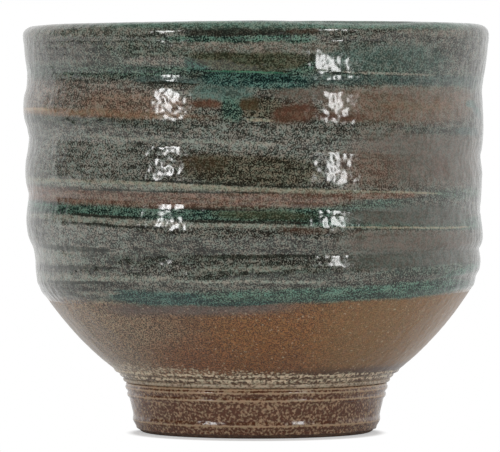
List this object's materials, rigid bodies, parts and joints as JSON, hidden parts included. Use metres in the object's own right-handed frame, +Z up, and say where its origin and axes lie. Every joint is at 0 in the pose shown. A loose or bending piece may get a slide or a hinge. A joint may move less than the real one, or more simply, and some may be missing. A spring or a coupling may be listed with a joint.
{
  "type": "tea bowl",
  "caption": "Round thrown stoneware tea bowl with finger rings on an upright wall, glaze pooled in copper-green bands, and a glazed foot ring to stand on.",
  "frame": {"origin": "centre of the foot's resting face", "axes": "+Z up along the bowl's axis; -Y is the side the picture shows"},
  "size_m": [0.1086, 0.1086, 0.094],
  "materials": {
    "body_clay": "bare stoneware clay, turned",
    "foot_clay": "bare stoneware clay, wiped",
    "slip": "pale luting slip",
    "iron_slip": "thin sandy iron glaze, satin",
    "ash_glaze": "speckled grey-green ash glaze, glossy",
    "lip_glaze": "thin pale green glaze, glossy",
    "liner_glaze": "grey-green liner glaze, glossy",
    "foot_glaze": "dark brown iron glaze with pale specks, glossy",
    "copper_glaze": "dark copper-green pooled glaze, glossy"
  },
  "bodies": {
    "root": {"bowl_body": "body_clay", "foot_ring": "foot_clay", "luting_slip": "slip", "iron_slip_coat": "iron_slip", "ash_glaze_coat": "ash_glaze", "lip_glaze": "lip_glaze", "liner_glaze": "liner_glaze", "foot_glaze": "foot_glaze", "copper_band_lower": "copper_glaze", "copper_band_middle": "copper_glaze", "copper_band_upper": "copper_glaze", "copper_band_lip": "copper_glaze"}
  },
  "joints": []
}
